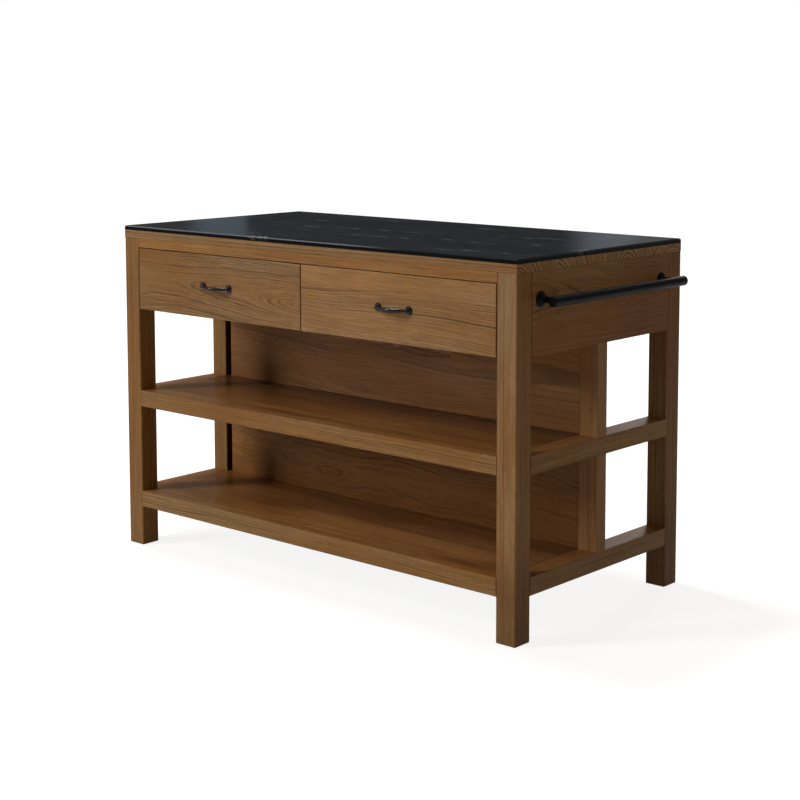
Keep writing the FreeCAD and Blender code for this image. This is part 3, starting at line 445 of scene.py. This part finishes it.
def dress_shelf(level, seed, tone, front_rail_top_painted_light, middle, right, right_end, front, panel):
    """front_rail_top_painted_light paints light on the front rail's top, and the last five paint light
    and shade on regions of the board. tone scales the board's colours, as painted shade.
    """
    for step, member, axes, top in ((0, "front_rail", (X, Z, Y), front_rail_top_painted_light),
                                    (1, "cross_rail", (X, Z, Y), PAINTED_SHADE_RAIL_TOP),
                                    (2, "side_rail_left", (Y, Z, X), LEFT_PAINTED_SHADE_RAIL_TOP),
                                    (3, "side_rail_right", (Y, Z, X), PAINTED_SHADE_RAIL_TOP)):
        wood(f"{level}_shelf_{member}", axes, seed + step, top=top, **SHELF_EDGE)
    wood(f"{level}_shelf_board", (X, Y, Z), seed + 4, pith=(0.0, -0.09), rings=130.0, warp=0.8,
         staves=0.31, light=shade((170, 118, 65), tone), warm=shade((125, 76, 33), tone),
         dark=shade((58, 35, 17), tone), lines=1.0, top=(1.0, 1.0, 1.0),
         fades=((ALONG, -0.35, -0.12, middle), (ALONG, 0.0, 0.30, right), (ALONG, 0.40, 0.56, right_end),
                (ACROSS, 0.029, -0.064, front), (ACROSS, 0.030, 0.110, panel)))


dress_shelf("middle", 60, tone=0.83, front_rail_top_painted_light=(1.18, 1.06, 0.98), middle=(0.90, 0.78, 0.60),
            right=(1.0, 1.02, 1.08), right_end=(1.0, 1.04, 1.04), front=(2.25, 2.62, 3.10),
            panel=(0.72, 0.72, 0.56))
dress_shelf("bottom", 69, tone=0.98, front_rail_top_painted_light=(1.14, 1.0, 0.88), middle=(0.96, 0.90, 0.93),
            right=(0.92, 0.93, 0.95), right_end=(0.84, 0.85, 0.85), front=(1.50, 1.58, 1.58),
            panel=(0.74, 0.66, 0.44))

# Divider posts: a left one painted darker and a right one painted lighter and bluer, as painted
# shade and light, and the left one's side in the slot painted nearly black, as painted shade
SLOT_SIDE_PAINTED_SHADE = ((X, 1, (0.36, 0.20, 0.12)),)
for level, seed in (("lower", 80), ("upper", 87)):
    for step, word, tone, blue, tints in ((0, "left", 0.905, 0.905, SLOT_SIDE_PAINTED_SHADE),
                                          (1, "right", 1.08, 1.10, ())):
        wood(f"{level}_divider_post_{word}", (Z, X, Y), seed + step, tints=tints,
             light=shade((LIGHT[0], LIGHT[1], LIGHT[2] * blue), tone),
             warm=shade((WARM[0], WARM[1], WARM[2] * blue), tone), dark=shade(DARK, tone), **LEG)

# Divider panels: painted light and shade, with a painted shadow near the left end, painted shade
# that darkens them downwards, and ends painted nearly black as painted shade
PANEL = dict(end_shade=0.12)
wood("upper_divider_panel", (X, Z, Y), 88, pith=(0.05, -0.045), lean=(0.05, 0.035), rings=120.0,
     warp=1.0, light=(186, 147, 108), warm=(177, 130, 85), dark=(94, 66, 46), lines=0.66,
     swells=((-0.30, 0.02, 0.16, 0.05, -0.020),),
     fades=((ALONG, -0.42, -0.58, (0.72, 0.62, 0.48)), (ALONG, 0.25, 0.50, (0.88, 0.78, 0.62)),
            (ACROSS, 0.0, -0.11, (0.66, 0.56, 0.44)), (ALONG, -0.52, -0.44, (0.82, 0.82, 0.82)),
            (ALONG, -0.38, -0.26, (1.26, 1.24, 1.28))), **PANEL)
wood("lower_divider_panel", (X, Z, Y), 92, pith=(-0.06, -0.050), lean=(0.02, 0.03), rings=135.0,
     warp=1.25, light=(152, 110, 65), warm=(143, 97, 51), dark=(72, 46, 26), lines=0.80,
     swells=((-0.21, -0.052, 0.13, 0.045, -0.030), (0.25, -0.060, 0.20, 0.050, -0.010)),
     fades=((ALONG, -0.40, -0.56, (1.18, 1.18, 0.98)), (ACROSS, 0.0, -0.115, (0.72, 0.62, 0.49)),
            (ALONG, -0.46, -0.40, (0.86, 0.86, 0.86)), (ALONG, -0.34, -0.26, (1.18, 1.18, 1.18))),
     **PANEL)

# Drawer boxes are of plainer, paler wood
BOX = dict(light=(176, 146, 108), warm=(172, 135, 92), dark=(128, 95, 62), lines=0.45, rings=140.0)
for word, seed in (("left", 100), ("right", 110)):
    for step, member, axes in ((0, "side_left", (Y, Z, X)), (1, "side_right", (Y, Z, X)),
                               (2, "back", (X, Z, Y))):
        wood(f"{word}_drawer_{member}", axes, seed + step, **BOX)


# Plywood drawer bottoms: one wide peeled sheet on top, layers at the edge

LAYER = 2.4 / 1000
PEELING = 0.35
LOG_RADIUS = 0.16


def plywood(node, seed):
    material, g, shader = new_material(f"{node}_plywood", Specular_IOR_Level=0.25)
    low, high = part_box(node)
    x, y, z = g.split(g.vector("SUBTRACT", g.place(), tuple((low + high) / 2)))
    peeled = g.join(x, g.product(y, PEELING), g.maths("ADD", z, LOG_RADIUS))
    field = read_tree(g, peeled, float(seed), rings=190.0, warp=2.2)
    face = g.mix(g.between(field["Patch"], 0.35, 0.68), colour(196, 166, 126), colour(186, 150, 106))
    face = g.mix(g.product(field["Line"], 0.5), face, colour(150, 114, 74))
    layer = g.maths("FRACT", g.product(g.maths("SUBTRACT", z, low.z), 1 / LAYER))
    edge = g.mix(g.between(layer, 0.40, 0.60), colour(170, 134, 92), colour(112, 80, 50))
    level = g.between(g.maths("ABSOLUTE", g.facing()[Z]), 0.5, 0.8)
    sheet = g.mix(level, edge, face)
    tone = g.swing(field["Fine"], 0.3)
    g.put(shader.inputs["Base Color"], g.mix(1.0, sheet, g.grey(tone), "MULTIPLY"))
    g.put(shader.inputs["Roughness"], g.maths("MULTIPLY_ADD", field["Fine"], 0.2, 0.5))
    g.put(shader.inputs["Normal"], g.bump(field["Fine"], strength=0.25, distance=0.0003))
    dress(node, material)


plywood("left_drawer_bottom", 7)
plywood("right_drawer_bottom", 9)


# Black stone

STONE_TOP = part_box("stone_top")[1].z
STONE_SHINE, STONE_EDGE_SHINE, STONE_EDGE_PAINTED_SHADE = 0.36, 0.04, 0.80
# Veins: pace along and across the table, width, gaps between them, strength and colour
VEINS = (((0.9, 17.0, 17.0), 0.0050, (0.50, 0.60), 0.60, (92, 95, 100)),
         ((1.6, 34.0, 34.0), 0.0080, (0.50, 0.60), 0.50, (84, 87, 92)),
         ((3.6, 9.0, 9.0), 0.0030, (0.58, 0.66), 0.16, (120, 122, 124)))
# Streaks, placed one by one: the middle of each along and across the table, and its reach
STREAKS = ((-0.307, -0.013, 0.026), (-0.200, 0.009, 0.017), (-0.160, 0.016, 0.012),
           (-0.031, -0.121, 0.015), (0.042, -0.118, 0.026), (-0.066, 0.030, 0.014),
           (0.026, 0.032, 0.021), (0.130, -0.108, 0.014), (0.246, -0.063, 0.019),
           (0.334, -0.073, 0.016), (0.376, -0.069, 0.013), (0.370, 0.103, 0.012),
           (0.415, 0.125, 0.034), (0.497, -0.029, 0.012), (0.399, -0.266, 0.021),
           (0.464, -0.246, 0.022), (0.558, -0.235, 0.010), (-0.420, 0.150, 0.022),
           (0.120, 0.250, 0.030), (-0.250, 0.270, 0.018))
STREAK_STRETCH, STREAK_HALF_WIDTH, STREAK_DEPTH = 2.2, 0.0050, 0.05
# White marks: the middle of each along and across the table, and its half axes
MARKS = (((-0.190, -0.329), (0.052, 0.024, 0.014)), ((0.669, -0.067), (0.022, 0.050, 0.014)))


def stone_veins(g, base, place, bent):
    """Faint veins: where a stretched noise passes its middle, broken up by another one."""
    for pace, width, gaps, strength, tone in VEINS:
        ridge = g.between(g.from_half(g.noise(bent, pace=pace)), width, 0.0)
        broken = g.noise(place, pace=(8.0 * pace[0], 3.0, 3.0))
        amount = g.product(ridge, g.between(broken, *gaps, 0.0, strength))
        base = g.mix(amount, base, colour(*tone))
    return base


def stone_streaks(g, base, place):
    wavy = g.vector("ADD", place, g.sway(place, (26.0, 12.0, 12.0), detail=2.0, reach=0.0025))
    pale = 0.0
    for x, y, reach in STREAKS:
        half_axes = (reach * STREAK_STRETCH, STREAK_HALF_WIDTH, STREAK_DEPTH)
        away = g.away(wavy, (x, y, STONE_TOP), half_axes)
        pale = g.highest(g.between(away, 1.0, 0.2), pale)
    gaps = g.between(g.noise(place, pace=(70.0, 90.0, 90.0)), 0.36, 0.58, 0.22, 0.72)
    return g.mix(g.product(pale, gaps), base, colour(136, 138, 141))


def stone_marks(g, base, place):
    """Each mark is a small crossing of white threads."""
    threads = g.noise(place, pace=(38.0, 55.0, 90.0), detail=3.0, roughness=0.7)
    thread = g.between(g.from_half(threads), 0.040, 0.012)
    for (x, y), half_axes in MARKS:
        near = g.between(g.away(place, (x, y, STONE_TOP), half_axes), 1.0, 0.35)
        base = g.mix(g.product(near, thread), base, colour(196, 196, 192))
    return base


def stone_arris(g, base, from_middle, facing):
    """The front arris has a painted highlight along its left half, and is painted dark, as painted
    shade, along the right one.
    """
    arris = g.product(g.between(facing[Z], 0.95, 0.85), g.between(facing[Y], -0.35, -0.55),
                      g.between(facing[Z], 0.35, 0.60))
    painted_highlight = g.product(arris, g.between(from_middle, 0.10, 0.35, 0.46, 0.0))
    base = g.mix(painted_highlight, base, colour(120, 122, 127))
    dark = g.product(arris, g.between(from_middle, 0.15, 0.45, 0.0, 0.85))
    return g.mix(dark, base, BLACK)


def black_stone():
    """A polished top with faint clouds, veins, streaks and marks, and dull edges painted darker as
    painted shade.
    """
    material, g, shader = new_material("black_stone")
    place = g.place()
    facing = g.facing()
    upward = g.between(facing[Z], 0.82, 0.96)
    bent = g.vector("ADD", place, g.sway(place, (2.2, 6.0, 6.0), detail=3.0, reach=0.05))
    cloud = g.noise(bent, pace=(2.0, 7.0, 7.0), detail=4.0, roughness=0.6)
    base = g.mix(g.between(cloud, 0.35, 0.72), colour(16, 17, 20), colour(31, 34, 39))
    grain = g.noise(place, scale=900.0, detail=1.0)
    base = g.mix(g.between(grain, 0.60, 0.80, 0.0, 0.35), base, colour(52, 55, 60))
    base = stone_veins(g, base, place, bent)
    base = stone_streaks(g, base, place)
    base = stone_marks(g, base, place)
    # The faces that don't look up are painted darker, as painted shade
    base = g.mix(upward, g.mix(STONE_EDGE_PAINTED_SHADE, base, BLACK), base)
    base = stone_arris(g, base, g.split(place)[X], facing)
    g.put(shader.inputs["Base Color"], base)
    g.put(shader.inputs["Specular IOR Level"],
          g.between(upward, 0.0, 1.0, STONE_EDGE_SHINE, STONE_SHINE))
    polish = g.between(g.noise(place, pace=(9.0, 9.0, 9.0), detail=3.0), 0.3, 0.7, 0.09, 0.14)
    g.put(shader.inputs["Roughness"], g.maths("ADD", polish, g.between(upward, 1.0, 0.0, 0.0, 0.30)))
    height = g.maths("ADD", g.product(grain, 0.3), g.noise(place, scale=60.0))
    g.put(shader.inputs["Normal"], g.bump(height, strength=0.06, distance=0.0003))
    dress("stone_top", material)


black_stone()


# Black powder coat on the towel rail, black iron on the pulls

def coated(name, members, low, high, rough, grain, relief, shine):
    material, g, shader = new_material(name, Specular_IOR_Level=shine)
    place = g.place()
    cloud = g.noise(place, scale=22.0, detail=3.0)
    speck = g.noise(place, scale=grain, roughness=0.6)
    base = g.mix(g.between(cloud, 0.35, 0.7), colour(*low), colour(*high))
    specks = g.between(speck, 0.55, 0.75, 0.0, 0.4)
    g.put(shader.inputs["Base Color"], g.mix(specks, base, colour(*shade(high, 1.35))))
    blend = g.maths("MULTIPLY_ADD", cloud, 0.5, g.product(speck, 0.5))
    g.put(shader.inputs["Roughness"], g.between(blend, 0.3, 0.7, rough - 0.06, rough + 0.08))
    g.put(shader.inputs["Normal"], g.bump(speck, relief, distance=0.0002))
    for member in members:
        dress(member, material)


coated("rail_powder_coat", ["towel_rail_bar", "towel_rail_post_front", "towel_rail_post_back"],
       low=(6, 7, 9), high=(10, 12, 14), rough=0.44, grain=1500.0, relief=0.30, shine=0.05)
coated("pull_black_iron", ["left_drawer_pull", "right_drawer_pull"],
       low=(4, 4, 5), high=(9, 9, 9), rough=0.25, grain=700.0, relief=0.25, shine=0.22)


# Zinc on the screws, angles and slides

def zinc_steel():
    material, g, shader = new_material("zinc_steel", Metallic=1.0)
    place = g.place()
    cells = g.add("ShaderNodeTexVoronoi")
    g.put(cells.inputs["Vector"], place)
    g.put(cells.inputs["Scale"], 260.0)
    spangle = g.split(cells.outputs["Color"])[0]
    brush = g.noise(place, pace=(900.0, 12.0, 900.0))
    mixed = g.maths("ADD", g.product(spangle, 0.5), g.product(brush, 0.5))
    g.put(shader.inputs["Base Color"], g.mix(mixed, colour(168, 172, 176), colour(205, 208, 212)))
    g.put(shader.inputs["Roughness"], g.between(mixed, 0.2, 0.8, 0.26, 0.42))
    g.put(shader.inputs["Normal"], g.bump(brush, strength=0.15, distance=0.0002))
    members = ["towel_rail_screws", "top_fixing_angles"]
    members += ["left_drawer_pull_screws", "right_drawer_pull_screws"]
    members += [node for node in nodes if "_slide_" in node and "_drawer_" in node]
    for member in members:
        dress(member, material)


zinc_steel()


# Stage: a plain pale floor, which the camera sees as white around the table's soft shadow

FLOOR_REACH = 14.0
PAPER = ((0.24, 0.235, 0.22, 1.0), (0.27, 0.265, 0.25, 1.0))
LIT_REACH, WHITE_REACH, LIT_GLOW = 1.2, 4.5, 0.86


def make_floor():
    corners = [(x * FLOOR_REACH, y * FLOOR_REACH, 0) for x, y in ((-1, -1), (1, -1), (1, 1), (-1, 1))]
    mesh = bpy.data.meshes.new("floor")
    mesh.from_pydata(corners, [], [(0, 1, 2, 3)])
    floor = bpy.data.objects.new("floor", mesh)
    bpy.context.scene.collection.objects.link(floor)
    material, g = empty_material("pale_floor")
    place = g.place()
    paper = g.add("ShaderNodeBsdfDiffuse")
    g.put(paper.inputs["Color"], g.mix(g.noise(place, scale=40.0, detail=3.0), *PAPER))
    glow = g.add("ShaderNodeEmission")
    glow.inputs["Color"].default_value = WHITE
    # Away from the lamps the paper itself turns white
    reach = g.vector("LENGTH", g.vector("MULTIPLY", place, (1.0, 1.0, 0.0)))
    rays = g.add("ShaderNodeLightPath").outputs
    seen = g.highest(rays["Is Camera Ray"], rays["Is Glossy Ray"], rays["Is Transmission Ray"])
    strength = g.between(reach, LIT_REACH, WHITE_REACH, LIT_GLOW, 1.0)
    g.put(glow.inputs["Strength"], g.product(seen, strength))
    both = g.add("ShaderNodeAddShader")
    g.put(both.inputs[0], paper.outputs[0])
    g.put(both.inputs[1], glow.outputs[0])
    g.put(g.add("ShaderNodeOutputMaterial").inputs["Surface"], both.outputs[0])
    mesh.materials.append(material)


# The studio that polished faces reflect

# Turns are in degrees: 0 at the right end, 90 at the back and 180 at the left end. A change begins
# at the first value of a pair and is full at the second. Heights are the upward share of a direction
CEILING, WHITE_OVERHEAD = (0.30, 0.75), (0.55, 0.9)
LEFT_WALL_NEAR, LEFT_WALL_DIM, LEFT_WALL_FAR = (136.96, 137.26), (139.4, 138.4), (176.0, 150.0)
RIGHT_WALL_NEAR, RIGHT_WALL_DIM, RIGHT_WALL_FAR = (126.4, 125.0), (123.2, 124.4), (60.0, 100.0)
RIGHT_WALL_FOOT = (0.1115, 0.0945)
# How much of each wall shows where it is dim
LEFT_DIM_SHARE, RIGHT_DIM_SHARE = 0.05, 0.45
# What the shelves' left ends reflect past the posts, and the side rails past the right posts
GLIMPSE_BOTTOM, GLIMPSE_TOP = (0.14, 0.18), (0.45, 0.35)
GLIMPSES = (((137.1, 137.7), (0.40, 0.27, 0.158, 1.0)), ((124.9, 124.4), (0.70, 0.61, 0.50, 1.0)))
DIM_ROOM, PALE_CEILING = (0.028, 0.030, 0.033, 1.0), (0.34, 0.34, 0.34, 1.0)
LEFT_WALL = (0.088, 0.117, 0.139, 1.0)
RIGHT_WALL, RIGHT_WALL_LOW = (0.125, 0.145, 0.160, 1.0), (0.150, 0.168, 0.184, 1.0)
SOFT_LIGHT = (0.175, 0.148, 0.115, 1.0)


def make_world():
    """White behind the table. Around it a studio: pale overhead, dim low down, with paler walls."""
    world = bpy.data.worlds.new("studio")
    bpy.context.scene.world = world
    world.use_nodes = True
    world.node_tree.nodes.clear()
    g = Graph(world.node_tree)
    direction = g.vector("NORMALIZE", g.add("ShaderNodeTexCoord").outputs["Generated"])
    x, y, height = g.split(direction)
    turn = g.maths("ARCTAN2", y, x)

    def turned(pair, *outcome):
        return g.between(turn, math.radians(pair[0]), math.radians(pair[1]), *outcome)

    studio = g.mix(g.between(height, *CEILING), DIM_ROOM, PALE_CEILING)
    left_wall = g.product(turned(LEFT_WALL_NEAR), turned(LEFT_WALL_DIM, LEFT_DIM_SHARE, 1.0),
                          turned(LEFT_WALL_FAR))
    studio = g.mix(left_wall, studio, LEFT_WALL)
    right_wall = g.product(turned(RIGHT_WALL_NEAR), turned(RIGHT_WALL_DIM, RIGHT_DIM_SHARE, 1.0),
                           turned(RIGHT_WALL_FAR))
    right_tone = g.mix(g.between(height, *RIGHT_WALL_FOOT), RIGHT_WALL, RIGHT_WALL_LOW)
    studio = g.mix(right_wall, studio, right_tone)
    band = g.product(g.between(height, *GLIMPSE_BOTTOM), g.between(height, *GLIMPSE_TOP))
    for pair, tone in GLIMPSES:
        studio = g.mix(g.product(band, turned(pair)), studio, tone)
    rays = g.add("ShaderNodeLightPath").outputs
    around = g.mix(rays["Is Glossy Ray"], SOFT_LIGHT, studio)
    seen = g.highest(rays["Is Camera Ray"], rays["Is Transmission Ray"],
                     g.product(rays["Is Glossy Ray"], g.between(height, *WHITE_OVERHEAD)))
    sky = g.add("ShaderNodeBackground")
    g.put(sky.inputs["Color"], g.mix(seen, around, WHITE))
    sky.inputs["Strength"].default_value = 1.0
    g.put(g.add("ShaderNodeOutputWorld").inputs["Surface"], sky.outputs[0])


# Lamps

TABLE_MIDDLE = (0.0, 0.0, 0.5)


def lamp(name, place, target, width, height, power, tint):
    light = bpy.data.lights.new(name, "AREA")
    light.shape = "RECTANGLE"
    light.size = width
    light.size_y = height
    light.energy = power
    light.color = tint
    thing = bpy.data.objects.new(name, light)
    thing.location = place
    thing.rotation_euler = (Vector(target) - Vector(place)).to_track_quat("-Z", "Y").to_euler()
    thing.visible_camera = False
    bpy.context.scene.collection.objects.link(thing)


def from_table(turn, rise, distance):
    """A place around the table: turn is in degrees from the front towards the left end."""
    turn, rise = math.radians(turn), math.radians(rise)
    return (TABLE_MIDDLE[0] - distance * math.cos(rise) * math.sin(turn),
            TABLE_MIDDLE[1] - distance * math.cos(rise) * math.cos(turn),
            TABLE_MIDDLE[2] + distance * math.sin(rise))


make_floor()
make_world()
lamp("key_softbox", from_table(turn=36.5, rise=28, distance=16.0), target=(0.0, -0.1, 0.45),
     width=2.7, height=8.6, power=1370.0, tint=(0.97, 1.0, 1.05))
lamp("overhead_softbox", from_table(turn=100, rise=72, distance=4.6), target=TABLE_MIDDLE,
     width=1.2, height=1.2, power=245.0, tint=(1.0, 1.0, 1.0))
lamp("back_softbox", from_table(turn=168, rise=22, distance=5.2), target=(-0.1, 0.0, 0.45),
     width=1.8, height=1.8, power=58.0, tint=(1.0, 0.98, 0.95))


# Camera, placed and framed as the photograph's. Its axis meets the photo at AXIS_PIXEL

PHOTO_SIZE = 800.0
AXIS_PIXEL = (423.3, 250.0)
FOCAL_PIXELS = 1678.4
SENSOR_WIDTH = 36.0
CAMERA_PLACE = (3.0115, -3.3418, 1.3170)
CAMERA_DIP, CAMERA_TURN = 5.716, 41.074


def make_camera():
    data = bpy.data.cameras.new("photo_camera")
    data.sensor_fit = "HORIZONTAL"
    data.sensor_width = SENSOR_WIDTH
    data.lens = FOCAL_PIXELS * SENSOR_WIDTH / PHOTO_SIZE
    data.shift_x = (PHOTO_SIZE / 2 - AXIS_PIXEL[0]) / PHOTO_SIZE
    data.shift_y = (AXIS_PIXEL[1] - PHOTO_SIZE / 2) / PHOTO_SIZE
    data.clip_end = 100.0
    camera = bpy.data.objects.new("photo_camera", data)
    camera.location = CAMERA_PLACE
    camera.rotation_euler = (math.radians(90.0 - CAMERA_DIP), 0.0, math.radians(CAMERA_TURN))
    bpy.context.scene.collection.objects.link(camera)
    bpy.context.scene.camera = camera


make_camera()
bpy.context.scene.view_settings.view_transform = "Standard"
